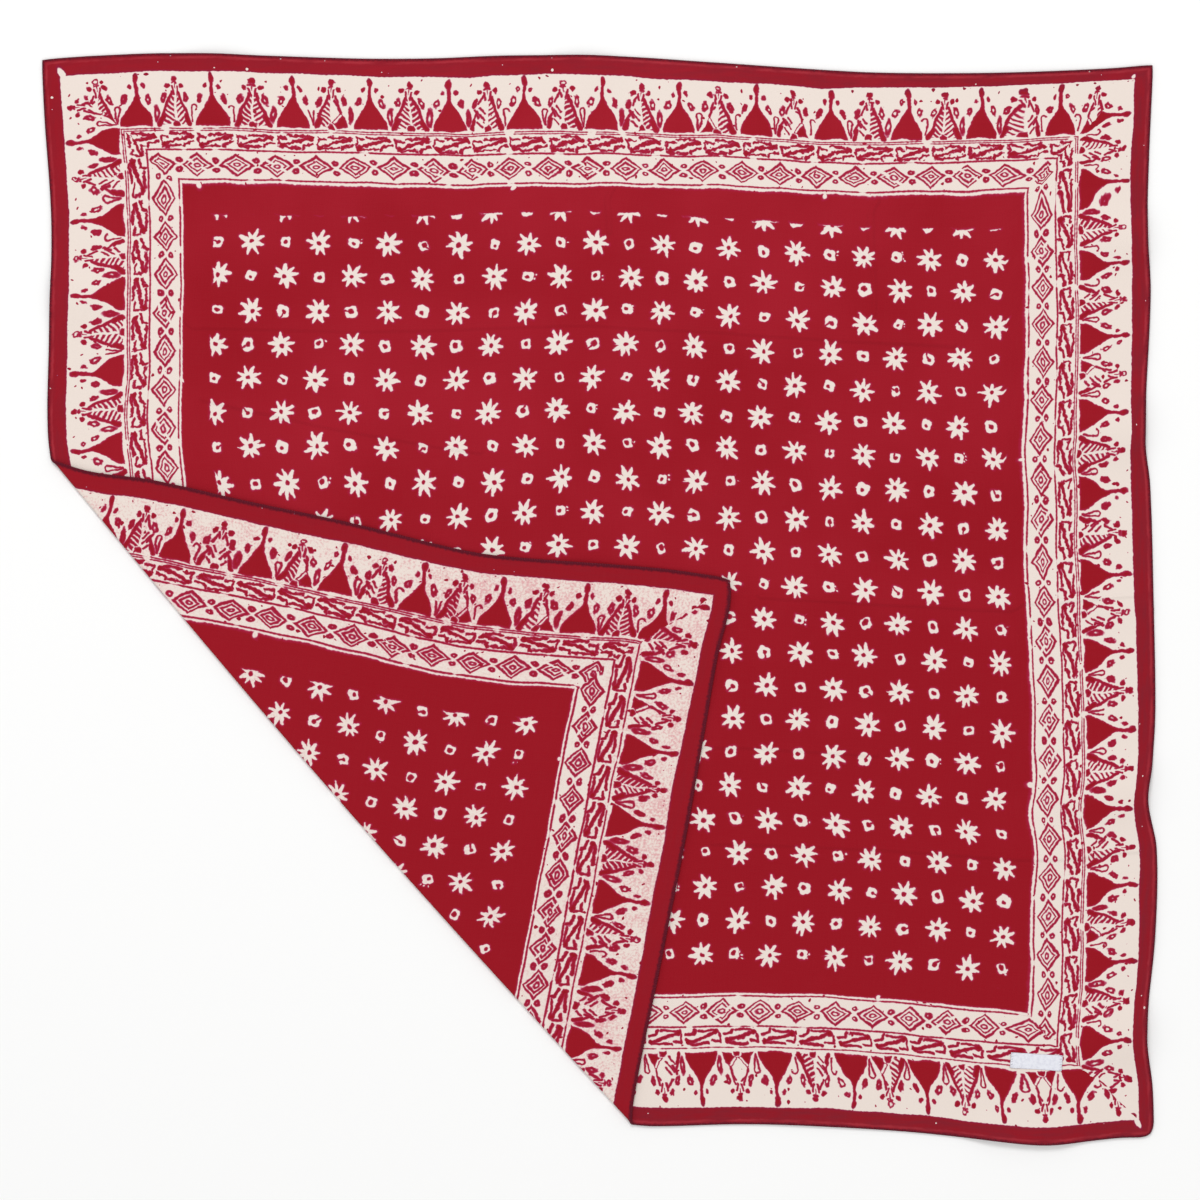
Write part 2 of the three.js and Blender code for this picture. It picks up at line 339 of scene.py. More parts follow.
def clothMesh():
    width, height = cloth["printWidth"], cloth["printHeight"]
    columns, rows = gridLines(width), gridLines(height)
    u, v = (grid.ravel() for grid in np.meshgrid(columns, rows))
    laid = laidPoint(u, v)
    count = len(columns)
    corner = np.arange((len(rows) - 1) * count).reshape(-1, count)[:, :-1].ravel()
    rings = np.stack([corner + count, corner + count + 1, corner + 1, corner], 1)

    # The cells that the fold crosses are cut along its stations, so that each strip bends as one.
    levels = foldStations()[:-1, 0] - cloth["foldRadius"]
    pastAll = pastFold(laid)
    crossed = (pastAll[rings].min(1) < levels[-1]) & (pastAll[rings].max(1) > levels[0])
    cells = rings[crossed].tolist()
    past, blends, made = pastAll.tolist(), [], {}
    for level in levels.tolist():
        cells = [part for cell in cells for part in splitRing(cell, level, past, blends, made)]
    values = np.concatenate([np.stack([u, v], 1), laid], 1)
    values = np.concatenate([values, np.zeros((len(blends), 4))])
    for i, (low, high, share) in enumerate(blends, len(u)):
        values[i] = values[low] * (1 - share) + values[high] * share
    u, v, laid, past = values[:, 0], values[:, 1], values[:, 2:], np.array(past)
    faces = rings[~crossed].tolist() + cells

    # Every point goes to its place on the folded cloth, once for each skin.
    edge = np.minimum(np.minimum(u, 1 - u) * width, np.minimum(v, 1 - v) * height)
    near, faceUp, backDown = np.array(hemSection).T
    middle, level, travel = foldedMiddle(laid, past)
    level = level + hemLift(edge, travel)
    skins = []
    for offset in (np.interp(edge, near, faceUp), -np.interp(edge, near, backDown)):
        shift = -offset * np.sin(travel)
        place = np.column_stack([middle + outFold * shift[:, None], level + offset * np.cos(travel)])
        skins.append(place)
    total = len(u)
    points = np.concatenate(skins)

    polygons, edges = [], {}
    for ring in faces:
        polygons.append(ring)
        polygons.append([i + total for i in reversed(ring)])
        for a, b in zip(ring, ring[1:] + ring[:1]):
            if (b, a) in edges:
                del edges[(b, a)]
            else:
                edges[(a, b)] = True
    polygons += [[b, a, a + total, b + total] for a, b in edges]

    mesh = bpy.data.meshes.new("cloth")
    mesh.from_pydata((points * mm).tolist(), [], polygons)
    return mesh, points, np.column_stack([u * width, v * height]), edge


clothData, clothPoints, clothCut, clothEdge = clothMesh()
print("cloth folded:", len(clothData.vertices), "points", len(clothData.polygons), "faces")


# How far everything moves from the tables' own millimetres, so that the cloth lies on the floor
# in the middle of its frame
def clothShift():
    low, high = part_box("cloth")
    middle = (clothPoints.min(0) + clothPoints.max(0)) / 2
    bottom = clothPoints[:, 2].min() - cloth["floorGap"]
    moveX, moveY = ((low[i] + high[i]) / 2 / mm - middle[i] for i in (0, 1))
    return np.array([moveX, moveY, low[2] / mm - bottom])


shift = clothShift()

# Along each side, how far in from the edge the cream border starts and the red centre starts.
# It was printed by hand, so it wanders: [along the side, start of the border, start of the centre]
borderTop = [
    [60, 8.8, 62.8], [110, 8.6, 62.6], [160, 8.3, 62.8], [185, 9.2, 63.8], [210, 10.5, 65.2],
    [235, 9.6, 65.2], [260, 9.4, 65.8], [285, 10.2, 65], [310, 10.2, 64.5], [335, 9.2, 63.2],
    [385, 9.2, 62.8], [410, 7.9, 62], [460, 6.5, 60.5], [500, 6, 59.5],
]
borderRight = [
    [40, 8.8, 61.5], [85, 8.4, 61.5], [110, 9.5, 62.5], [135, 8.4, 61.8], [160, 7.8, 60.5], [185, 7.2, 61],
    [210, 9.8, 63.2], [235, 10, 64.2], [285, 9.5, 63], [335, 8.2, 61.5], [360, 6.5, 59.2], [385, 8.8, 61.8],
    [410, 9.3, 64], [435, 8.5, 63.5], [460, 6.8, 60.8], [500, 7.5, 62],
]
borderBottom = [
    [60, 8.2, 65.5], [110, 10.3, 66.8], [160, 10.2, 67], [210, 9.4, 66.8], [310, 9, 66], [360, 8.5, 66.8],
    [385, 9.2, 67.2], [410, 8.6, 67], [460, 8.6, 66], [500, 8.5, 66.5],
]
borderLeft = [
    [50, 8.6, 66.4], [85, 8.6, 66.5], [135, 9.5, 67.2], [160, 9.6, 67.8], [185, 9.2, 67], [230, 9.6, 64.5],
    [310, 9.8, 62.2], [360, 10.4, 63.5], [410, 9.2, 64], [460, 9.5, 65], [500, 9.5, 65],
]
# Where the bottle motifs stand along each side
bottlesTop = [45.9, 83.6, 123.8, 162, 201.4, 238.7, 277.7, 315.5, 354.1, 390.9, 429.2, 465.7, 502]
bottlesRight = [27.5, 62.7, 98.1, 134.3, 172.3, 211.6, 253, 291.8, 331.1, 370.7, 408.8, 447, 486.5]
bottlesBottom = [57, 93.3, 131.3, 171.1, 209.2, 247.5, 284.5, 321.9, 360, 398.6, 435.8, 474, 509.3]
bottlesLeft = [43.4, 79.8, 116, 153.5, 190.8, 228, 264.8, 305.8, 345.8, 386.7, 425.5, 465.9, 503.4]

blockPrint = {
    "bottlePitch": 38,
    "bottleTop": 45.9,  # the first bottle along each side, in the print's own even spacing
    "bottleRight": 29,
    "bottleBottom": 55,
    "bottleLeft": 45.5,
    "borderStart": 9.6,
    "bottleFoot": 37,
    "meanderStart": 40.3,
    "diamondMiddle": 56.8,
    "diamondPitch": 19.14,
    "centreStart": 65.8,
    "nickPitch": 155,
    "starStart": (83.4, 75.4),
    "starPitch": (16.93, 16.99),
    "plain": 70,  # further in than this, the print lies evenly on the cloth
}


# The print's own place for a point of the cloth: even bands and even spacing all round.
def printPlace(x, y):
    width, height = cloth["printWidth"], cloth["printHeight"]
    plain = blockPrint["plain"]

    def straightened(depth, along, border):
        place, start, inner = np.array(border, float).T
        start, inner = np.interp(along, place, start), np.interp(along, place, inner)
        first, last = blockPrint["borderStart"], blockPrint["centreStart"]
        outside = depth / start * first
        within = first + (depth - start) * (last - first) / (inner - start)
        beyond = last + (depth - inner) * (plain - last) / (plain - inner)
        even = np.where(depth < start, outside, np.where(depth < inner, within, beyond))
        return np.where(depth < plain, even, depth)

    def spacing(along, depth, length, bottles, first):
        real = np.array([first * 0.4, *bottles, length - first * 0.4])
        even = np.array([real[0], *(first + blockPrint["bottlePitch"] * np.arange(len(bottles))), real[-1]])
        inside = np.minimum(plain - depth, np.minimum(along, length - along) - depth)
        return np.interp(along, real, even - real) * np.clip(inside / 4, 0, 1)

    fromRight, fromBottom = width - x, height - y
    printX = width - straightened(fromRight, y, borderRight)
    printX = np.where(x < width / 2, straightened(x, y, borderLeft), printX)
    printY = height - straightened(fromBottom, x, borderBottom)
    printY = np.where(y < height / 2, straightened(y, x, borderTop), printY)
    printX = printX + spacing(x, y, width, bottlesTop, blockPrint["bottleTop"])
    printX = printX + spacing(x, fromBottom, width, bottlesBottom, blockPrint["bottleBottom"])
    printY = printY + spacing(y, x, height, bottlesLeft, blockPrint["bottleLeft"])
    printY = printY + spacing(y, fromRight, height, bottlesRight, blockPrint["bottleRight"])
    return printX, printY


def finishCloth():
    mesh = clothData
    mesh.vertices.foreach_set("co", ((clothPoints + shift) * mm).ravel())
    spots = np.column_stack(printPlace(*clothCut.T))
    spots = np.concatenate([spots, spots])
    corner = np.empty(len(mesh.loops), np.int32)
    mesh.loops.foreach_get("vertex_index", corner)
    mesh.uv_layers.new(name="print").data.foreach_set("uv", spots[corner].ravel())
    edge = mesh.attributes.new("edgeDistance", "FLOAT", "POINT")
    edge.data.foreach_set("value", np.concatenate([clothEdge] * 2))
    reverse = mesh.attributes.new("reverseSide", "FLOAT", "POINT")
    reverse.data.foreach_set("value", np.repeat([0.0, 1.0], len(clothEdge)))
    mesh.shade_smooth()
    mesh.update()
    return addToScene("bandana", mesh)


bandana = finishCloth()
print("print laid on the cloth")

# A narrow woven tab, its two ends folded under, sewn flat to the face
labelTab = {
    "middle": (216.2, -228.8),
    "turn": -3.4,
    "width": 25.3,
    "height": 7.7,
    "foldUnder": 3.2,
    "thickness": 0.26,
    "endLift": 0.2,
    "clear": 0.04,
}


# A spot of the tab in metres, from its own millimetres, and the height of a surface there
def tabSpot(surface, x, y):
    turn = math.radians(labelTab["turn"])
    middleX, middleY = labelTab["middle"]
    spotX = (middleX + x * math.cos(turn) - y * math.sin(turn) + shift[0]) * mm
    spotY = (middleY + x * math.sin(turn) + y * math.cos(turn) + shift[1]) * mm
    hit = surface.ray_cast(Vector((spotX, spotY, 0.05)), Vector((0, 0, -1)))
    return spotX, spotY, hit[0].z


def labelMesh():
    half, thick = labelTab["width"] / 2, labelTab["thickness"]
    low = thick / 2 + labelTab["clear"]
    under, top = half - labelTab["foldUnder"], low + thick + 0.05
    bend = (top - low) / 2
    right = [(under, low), (half - 1.6, low), (half - bend, low)]
    right += [(half - bend + bend * math.sin(a), low + bend * (1 - math.cos(a))) for a in (0.8, 1.57, 2.34)]
    right += [(half - bend, top), (half - 1.6, top), (under, top), (under - 2, top - labelTab["endLift"])]
    right += [(4.5, low + 0.05), (0, low + 0.03)]
    line = np.array([(-x, z) for x, z in right] + right[-2::-1])
    run = np.concatenate([[0], np.cumsum(np.linalg.norm(np.diff(line, axis=0), axis=1))])
    slope = np.gradient(line, run, axis=0)
    normal = np.column_stack([-slope[:, 1], slope[:, 0]]) / np.linalg.norm(slope, axis=1)[:, None]
    # The strip's section: across the tab, with rounded selvedges
    section = [(-1, 0), (-0.985, 0.7), (-0.93, 1), (-0.5, 0.92), (0, 0.9)]
    section += [(0.5, 0.92), (0.93, 1), (0.985, 0.7)]
    section += [(1, 0)] + [(across, -up) for across, up in reversed(section[1:])]
    surface = BVHTree.FromObject(bandana, bpy.context.evaluated_depsgraph_get())
    points, spots = [], []
    for (x, z), (normalX, normalZ), along in zip(line, normal, run):
        waist = 1 - 0.012 * math.sin(along * 0.9) - 0.01 * math.cos(along * 0.37)
        for across, up in section:
            y = across * labelTab["height"] / 2 * waist
            away = up * thick / 2
            localX = x + normalX * away + 0.12 * math.sin(y * 0.8)
            spotX, spotY, ground = tabSpot(surface, localX, y)
            points.append((spotX, spotY, ground + (z + normalZ * away) * mm))
            spots.append((along, y))
    count = len(section)
    faces = []
    for i in range(len(line) - 1):
        for j in range(count):
            a, b = i * count + j, i * count + (j + 1) % count
            faces.append((a, b, b + count, a + count))
    last = (len(line) - 1) * count
    faces += [tuple(range(count))[::-1], tuple(last + j for j in range(count))]
    mesh = bpy.data.meshes.new("tab")
    mesh.from_pydata(points, [], faces)
    layer = mesh.uv_layers.new(name="ribbon")
    for loop in mesh.loops:
        layer.data[loop.index].uv = spots[loop.vertex_index]
    mesh.shade_smooth()
    mesh.update()
    return mesh


sewnTab = addToScene("sewnTab", labelMesh())
print("tab sewn on:", len(sewnTab.data.polygons), "faces")


# Loops of thread along a line, each one turned a little by chance
def threadTree():
    tree = bpy.data.node_groups.new("threadAlongLine", "GeometryNodeTree")
    tree.interface.new_socket("Line", in_out="INPUT", socket_type="NodeSocketGeometry")
    numbers = ("Pitch", "Loop Width", "Loop Height", "Thread", "Lean", "Unevenness")
    for name in numbers:
        tree.interface.new_socket(name, in_out="INPUT", socket_type="NodeSocketFloat")
    tree.interface.new_socket("Material", in_out="INPUT", socket_type="NodeSocketMaterial")
    tree.interface.new_socket("Stitches", in_out="OUTPUT", socket_type="NodeSocketGeometry")
    start, end = tree.nodes.new("NodeGroupInput"), tree.nodes.new("NodeGroupOutput")

    def node(kind, links=(), values=(), **settings):
        made = tree.nodes.new(kind)
        for key, setting in settings.items():
            setattr(made, key, setting)
        for socket, source in links:
            tree.links.new(source, made.inputs[socket])
        for socket, number in values:
            made.inputs[socket].default_value = number
        return made

    given = start.outputs
    line = node("GeometryNodeMeshToCurve", [("Mesh", given["Line"])])
    spaced = [("Curve", line.outputs[0]), ("Length", given["Pitch"])]
    even = node("GeometryNodeResampleCurve", spaced, mode="LENGTH")
    tangent = node("GeometryNodeInputTangent")
    align = "FunctionNodeAlignRotationToVector"
    facing = node(align, [("Vector", tangent.outputs[0])], axis="Z")
    upright = node(align, [("Rotation", facing.outputs[0])], axis="Y", pivot_axis="Z")
    upright.inputs["Vector"].default_value = (0, 0, 1)
    lowest = node("ShaderNodeMath", [(0, given["Unevenness"])], [(1, -1)], operation="MULTIPLY")
    spread = [(2, lowest.outputs[0]), (3, given["Unevenness"])]
    chance = node("FunctionNodeRandomValue", spread, [("Seed", 5)], data_type="FLOAT")
    lean = node("ShaderNodeMath", [(0, given["Lean"]), (1, chance.outputs[1])], operation="ADD")
    angle = node("ShaderNodeCombineXYZ", [("Y", lean.outputs[0]), ("Z", chance.outputs[1])])
    turned = node("FunctionNodeEulerToRotation", [(0, angle.outputs[0])])
    turns = [(0, upright.outputs[0]), (1, turned.outputs[0])]
    both = node("FunctionNodeRotateRotation", turns, rotation_space="LOCAL")
    ring = node("GeometryNodeCurvePrimitiveCircle", (), [("Resolution", 8), ("Radius", 1)])
    size = node("ShaderNodeCombineXYZ", [("X", given["Loop Width"]), ("Y", given["Loop Height"])], [("Z", 1)])
    oval = node("GeometryNodeTransform", [("Geometry", ring.outputs[0]), ("Scale", size.outputs[0])])
    strand = node("GeometryNodeCurvePrimitiveCircle", [("Radius", given["Thread"])], [("Resolution", 3)])
    loop = node("GeometryNodeCurveToMesh", [("Curve", oval.outputs[0]), ("Profile Curve", strand.outputs[0])])
    many = node(
        "GeometryNodeInstanceOnPoints",
        [("Points", even.outputs[0]), ("Instance", loop.outputs[0]), ("Rotation", both.outputs[0])],
    )
    real = node("GeometryNodeRealizeInstances", [("Geometry", many.outputs[0])])
    smooth = node("GeometryNodeSetShadeSmooth", [("Geometry", real.outputs[0])])
    dressed = [("Geometry", smooth.outputs[0]), ("Material", given["Material"])]
    coloured = node("GeometryNodeSetMaterial", dressed)
    tree.links.new(coloured.outputs[0], end.inputs[0])
    return tree


def threadAlong(name, lines, material, numbers):
    mesh = bpy.data.meshes.new(name)
    points, edges = [], []
    for line, closed in lines:
        first = len(points)
        points += [tuple(point) for point in line]
        edges += [(first + i, first + i + 1) for i in range(len(line) - 1)]
        edges += [(len(points) - 1, first)] if closed else []
    mesh.from_pydata(points, edges, [])
    obj = addToScene(name, mesh)
    modifier = obj.modifiers.new("thread", "NODES")
    modifier.node_group = threadGroup
    items = threadGroup.interface.items_tree
    sockets = {item.name: item.identifier for item in items if item.in_out == "INPUT"}
    for key, number in numbers.items():
        modifier[sockets[key]] = number
    modifier[sockets["Material"]] = material
    obj.update_tag()
    bpy.context.view_layer.update()
    made = bpy.data.meshes.new_from_object(obj.evaluated_get(bpy.context.evaluated_depsgraph_get()))
    obj.modifiers.clear()
    obj.data = made
    return obj


# The line down the middle of the rolled edge, all round the cloth
def edgeLine():
    width, height, inset = cloth["printWidth"], cloth["printHeight"], 0.6
    step = 0.4
    across = np.arange(inset, width - inset, step) / width
    down = np.arange(inset, height - inset, step) / height
    left, top = inset / width, inset / height
    u = np.concatenate([across, np.full(len(down), 1 - left), 1 - across, np.full(len(down), left)])
    v = np.concatenate([np.full(len(across), top), down, np.full(len(across), 1 - top), 1 - down])
    laid = laidPoint(u, v)
    middle, level, travel = foldedMiddle(laid, pastFold(laid))
    level = level + hemLift(np.full(len(u), inset), travel)
    return (np.column_stack([middle, level]) + shift) * mm


# What a sign such as + does to a wire; swapped where the wire stands on its right.
def worked(operation, swapped=False):
    def work(wire, other):
        return maths(wire.tree, operation, *((other, wire) if swapped else (wire, other)))
    return work


# A number, colour or vector on its way through a material, which adds and multiplies like a number.
class Wire:
    def __init__(self, tree, socket):
        self.tree, self.socket = tree, socket

    def __abs__(self):
        return maths(self.tree, "ABSOLUTE", self)

    __add__, __radd__ = worked("ADD"), worked("ADD", True)
    __sub__, __rsub__ = worked("SUBTRACT"), worked("SUBTRACT", True)
    __mul__, __rmul__ = worked("MULTIPLY"), worked("MULTIPLY")
    __truediv__, __rtruediv__ = worked("DIVIDE"), worked("DIVIDE", True)
    __gt__, __lt__ = worked("GREATER_THAN"), worked("LESS_THAN")


# Joins a wire to a socket, or sets the socket to a plain value.
def plug(value, socket):
    if isinstance(value, Wire):
        value.tree.links.new(value.socket, socket)
    else:
        socket.default_value = value


def addNode(tree, kind, **settings):
    node = tree.nodes.new(kind)
    for name, value in settings.items():
        setattr(node, name, value)
    count = len(tree.nodes)
    node.location = (200 * (count // 12), -170 * (count % 12))
    return node


def maths(tree, operation, *values, clamp=False):
    node = addNode(tree, "ShaderNodeMath", operation=operation, use_clamp=clamp)
    for value, socket in zip(values, node.inputs):
        plug(value, socket)
    return Wire(tree, node.outputs[0])


def least(first, *others):
    for other in others:
        first = maths(first.tree, "MINIMUM", first, other)
    return first


def most(first, *others):
    for other in others:
        first = maths(first.tree, "MAXIMUM", first, other)
    return first


# first where share is 0, second where it is 1
def between(share, first, second):
    node = addNode(share.tree, "ShaderNodeMix", data_type="FLOAT")
    plug(share, node.inputs[0])
    plug(first, node.inputs[2])
    plug(second, node.inputs[3])
    return Wire(share.tree, node.outputs[0])


def betweenColours(share, first, second):
    node = addNode(share.tree, "ShaderNodeMix", data_type="RGBA")
    plug(share, node.inputs[0])
    plug(first, node.inputs[6])
    plug(second, node.inputs[7])
    return Wire(share.tree, node.outputs[2])


def joined(tree, x, y, z=0.0):
    node = addNode(tree, "ShaderNodeCombineXYZ")
    for value, socket in zip((x, y, z), node.inputs):
        plug(value, socket)
    return Wire(tree, node.outputs[0])


def parted(vector):
    node = addNode(vector.tree, "ShaderNodeSeparateXYZ")
    plug(vector, node.inputs[0])
    return [Wire(vector.tree, socket) for socket in node.outputs]


def vectorMaths(operation, vector, *others):
    node = addNode(vector.tree, "ShaderNodeVectorMath", operation=operation)
    for value, socket in zip((vector, *others), node.inputs):
        plug(value, socket)
    return Wire(vector.tree, node.outputs["Value" if operation == "LENGTH" else "Vector"])


# Fine noise over a vector, where size is the length of one blotch. Returns its value and colour.
def noise(vector, size, detail=1.0, dimensions="2D"):
    node = addNode(vector.tree, "ShaderNodeTexNoise", noise_dimensions=dimensions)
    plug(vector, node.inputs["Vector"])
    node.inputs["Scale"].default_value = 1 / size
    node.inputs["Detail"].default_value = detail
    return Wire(vector.tree, node.outputs["Fac"]), Wire(vector.tree, node.outputs["Color"])


# Three numbers from 0 to 1 that are different for each motif
def chances(vector):
    node = addNode(vector.tree, "ShaderNodeTexWhiteNoise", noise_dimensions="3D")
    plug(vector, node.inputs["Vector"])
    return parted(Wire(vector.tree, node.outputs["Color"]))


def ramped(value, fromLow, fromHigh, toLow, toHigh, smooth=False):
    node = addNode(value.tree, "ShaderNodeMapRange", interpolation_type="SMOOTHSTEP" if smooth else "LINEAR")
    for item, socket in zip((value, fromLow, fromHigh, toLow, toHigh), node.inputs):
        plug(item, socket)
    return Wire(value.tree, node.outputs[0])


# Surface relief from a height of 0 to 1, its depth in millimetres
def relief(height, strength, depth):
    node = addNode(height.tree, "ShaderNodeBump")
    node.inputs["Strength"].default_value = strength
    node.inputs["Distance"].default_value = depth * mm
    plug(height, node.inputs["Height"])
    return Wire(height.tree, node.outputs[0])


# Turns a place so that a stroke from one point to another lies along x with its middle at 0.
def towards(place, fromX, fromY, toX, toY, sizeX=1, sizeY=1):
    node = addNode(place.tree, "ShaderNodeMapping", vector_type="TEXTURE")
    plug(place, node.inputs["Vector"])
    node.inputs["Location"].default_value = ((fromX + toX) / 2, (fromY + toY) / 2, 0)
    node.inputs["Rotation"].default_value = (0, 0, math.atan2(toY - fromY, toX - fromX))
    node.inputs["Scale"].default_value = (sizeX, sizeY, 1)
    return Wire(place.tree, node.outputs[0])


# Distance in millimetres to an oval blob, less than 0 inside it: ends of its long axis, half width
def blob(place, fromX, fromY, toX, toY, halfWidth):
    halfLength = math.hypot(toX - fromX, toY - fromY) / 2
    far = vectorMaths("LENGTH", towards(place, fromX, fromY, toX, toY, halfLength, halfWidth))
    return maths(place.tree, "MULTIPLY_ADD", far, halfWidth, -halfWidth)


# The same for a stroke of even width with round ends
def stroke(place, fromX, fromY, toX, toY, halfWidth):
    halfLength = math.hypot(toX - fromX, toY - fromY) / 2
    beside = vectorMaths("ABSOLUTE", towards(place, fromX, fromY, toX, toY))
    beyond = vectorMaths("SUBTRACT", beside, (halfLength, 0, 0))
    return vectorMaths("LENGTH", vectorMaths("MAXIMUM", beyond, (0, 0, 0))) - halfWidth


def nearestOf(shape, place, rows):
    return least(*(shape(place, *row) for row in rows))


# Motifs of one half of a bottle and one half of the sprig beside it, the other halves being
# mirrored. x runs from the bottle's middle, 0, to the sprig's, 19, and y from the foot up to 27.
bottleSeeds = [[3.3, 18.5, 3.1, 21.3, 1], [6.7, 11.4, 5.1, 16.2, 1.5]]
sprigSeeds = [[13.7, 16.4, 12.5, 11.2, 1.45]]
topBerry = [[18.5, 21.8, 18.9, 24.8, 1.25], [17.7, 20.8, 19.4, 22.2, 0.7]]
sprigBerries = [[14.9, 18.3, 15.5, 21, 1.25], [19, -1.6, 19, 2.5, 1.75]]
sprigStems = [[18.2, 15.6, 17.4, 19.3, 0.5], [19.3, 18.2, 19, 21.6, 0.42]]
featherSpine = [[10.9, 0.7, 17.3, 16.4, 0.8], [11.4, 1, 13.3, 4.6, 1.5]]
looseStrokes = [
    [15.1, 13.2, 17.3, 17.8, 0.6], [15.9, 11, 18, 8, 0.5], [14.9, 8.9, 17.6, 5, 0.5],
    [13.4, 10.3, 15.1, 6.6, 0.65], [11.9, 5, 14.4, 9.6, 0.65], [11.3, 0.8, 12.6, 5.2, 1.1],
    [14.4, 4.8, 16.4, 2.2, 0.5],
]
tentSlash = [[17.5, 3.3, 14.8, 7, 0.55]]
tentStrokes = [[14.8, 8.6, 16.9, 16, 0.6], [15.6, 11.6, 17.5, 13.8, 0.55]]
valleyStrokes = [[9.7, 1.6, 11, 8.9, 0.48], [9.6, 1.9, 8.3, 8.9, 0.48]]
valleyDrop = [[9.8, 2, 9.6, 11.2, 1.55]]
valleyHook = [[9.7, 2.4, 10.5, 8.7, 0.45]]
valleyCrook = [9.05, 8.9, 1.4, 0.45]  # its round top: middle, radius and half width
valleyLoop = [9.65, 8.9, 1.35, 0.45]


def borderMotifs(tree, place, x, y, luck, more, own, ragged):
    halfWidth = ramped(y, 1, 17.5, 7.5 + more[1] * 1.2, 0.85, smooth=True)
    body = most(x - halfWidth, 0 - y, y - 24)
    knob = blob(place, 0, 21.3, 0, 26.6, 1.45)
    wall = ramped(luck[0], 0.2, 0.8, -1, -1.6)  # a seed is hollow where it is thicker than this

    def seeds(rows):
        solid = nearestOf(blob, place, rows) + ragged
        return most(solid, maths(tree, "MULTIPLY_ADD", solid, -1, wall))

    bottle = least(body, knob, seeds(bottleSeeds))
    # Feather: a spine with slanting barbs towards the sprig's middle
    bar = (y + x * 0.78) * 0.36 + luck[1] * 0.5
    bar = abs(bar - maths(tree, "ROUND", bar)) * 2.2 - (0.42 + luck[2] * 0.26)
    spineLine = (x * -0.93 + y * 0.37) + 10.1
    barbs = most(bar, spineLine, x - 18.4, y - 15.4, 0.6 - y)
    feather = least(barbs, nearestOf(stroke, place, featherSpine))
    loose = nearestOf(stroke, place, looseStrokes)
    tent = most(0.4 - y, (y - 8.8 + (14.8 - x) * 2.05) * 0.44, (y - 8.8 + (x - 14.8) * 1.37) * 0.59)
    tent = most(tent, 0 - nearestOf(stroke, place, tentSlash))
    tent = least(tent, nearestOf(stroke, place, tentStrokes))
    sprig = between(own[0] > 0.52, feather, between(own[0] > 0.78, tent, loose))
    halo = 2.55 - vectorMaths("LENGTH", joined(tree, x - 19, y - 0.4))
    sprig = most(sprig, halo)
    sprig = least(sprig, nearestOf(blob, place, sprigBerries) + ragged, nearestOf(stroke, place, sprigStems))
    berry = nearestOf(blob, place, topBerry) + ragged
    sprig = least(sprig, most(berry, between(more[2] > 0.6, berry, -0.75 - berry)), seeds(sprigSeeds))
    drop = nearestOf(blob, place, valleyDrop)
    drop = most(drop, maths(tree, "MULTIPLY_ADD", drop, -1, wall))

    def archOf(middleX, middleY, radius, halfWidth):
        ring = vectorMaths("LENGTH", joined(tree, x - middleX, y - middleY)) - radius
        return most(abs(ring) - halfWidth, middleY - y)

    fork = nearestOf(stroke, place, valleyStrokes)
    fork = least(fork, between(own[1] > 0.3, 9, archOf(*valleyLoop)))
    hook = least(nearestOf(stroke, place, valleyHook), archOf(*valleyCrook))
    valley = between(luck[1] > 0.36, drop, between(luck[1] > 0.68, hook, fork))
    return least(bottle, sprig, valley)


# One block of the meander band: x from -9.6 to 9.6 clockwise round the cloth, y inwards to 7.8
meanderBlobs = [[-8.4, 6.5, -5, 5.9, 1.55], [6.2, 2.6, 8.4, 1.1, 1.6]]
meanderStrokes = [
    [-6.6, 6.1, -0.6, 4, 0.9], [-0.9, 4.1, 6.9, 1.9, 0.95], [-5.8, 7.2, 2.2, 7, 0.65],
    [-8.3, 5.2, -8.3, 1.4, 0.6], [-8.2, 1.4, -4.4, 2.2, 0.65], [-2.8, 0.8, 6, 0.9, 0.75],
    [3.8, 7.4, 4.3, 5.9, 0.85], [4.5, 5.7, 8.5, 4.9, 0.75],
]


def diamondMotifs(tree, along, y, luck):
    slope = abs(along) / 8 + abs(y) / 5.8
    outer = abs(slope - 0.93) * 4.6 - ramped(y + (luck[0] - 0.5) * 9, -5, 5, 0.62, 0.36)
    inner = abs(slope - 0.56) * 4.6 - (0.3 + luck[0] * 0.2)
    # One in four broke where the wax met.
    unbroken = least(outer, inner)
    breakAt = 0.7 - abs(y * 0.8 - along * 0.5 + 1.2 - luck[1] * 2)
    outer = between(luck[2] > 0.76, unbroken, most(unbroken, breakAt))
    eye = abs(vectorMaths("LENGTH", joined(tree, along * 0.6, y)) - 0.75 - luck[1] * 0.2) - 0.32
    ovalX, ovalY = (9.57 - abs(along)) / 1.35, abs(abs(y) - 2.4)
    oval = vectorMaths("LENGTH", joined(tree, ovalX, ovalY))
    ring = abs(oval - 0.8) - (0.32 + luck[2] * 0.4)
    return least(outer, eye, ring)


